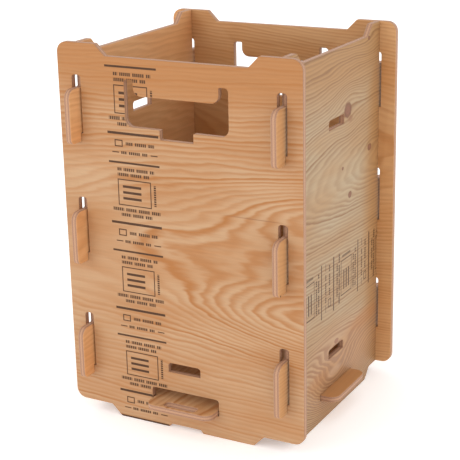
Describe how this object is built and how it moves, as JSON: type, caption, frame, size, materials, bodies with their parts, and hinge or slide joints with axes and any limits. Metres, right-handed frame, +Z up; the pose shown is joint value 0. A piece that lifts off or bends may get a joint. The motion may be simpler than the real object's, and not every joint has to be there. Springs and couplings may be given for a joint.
{
  "type": "storage crate",
  "caption": "Tall open-topped stacking crate of five plywood panels that hook together without fasteners, with a hand hole at each end.",
  "frame": {"origin": "on the ground, at the middle of the crate's footprint", "axes": "+Z up towards the open top, the front panel faces -Y, +X is the right-hand side as seen from the front"},
  "size_m": [0.375, 0.374, 0.551],
  "materials": {
    "end_plywood": "raw rotary-cut softwood plywood, orange-tan, satin from sanding, a printed strip of plain marks in dark brown",
    "side_plywood": "raw rotary-cut softwood plywood, paler yellow-beige with curly figure and a few knots",
    "floor_plywood": "raw rotary-cut softwood plywood, tan"
  },
  "bodies": {
    "core": {"left_side_panel": "side_plywood", "right_side_panel": "side_plywood", "floor_panel": "floor_plywood"},
    "front": {"front_panel": "end_plywood"},
    "back": {"back_panel": "end_plywood"}
  },
  "joints": [
    {"name": "front_unhook", "type": "slide", "parent": "core", "child": "front", "axis": [0, 0, 1], "range_m": [-0.013, 0]},
    {"name": "back_unhook", "type": "slide", "parent": "core", "child": "back", "axis": [0, 0, 1], "range_m": [-0.013, 0]}
  ]
}
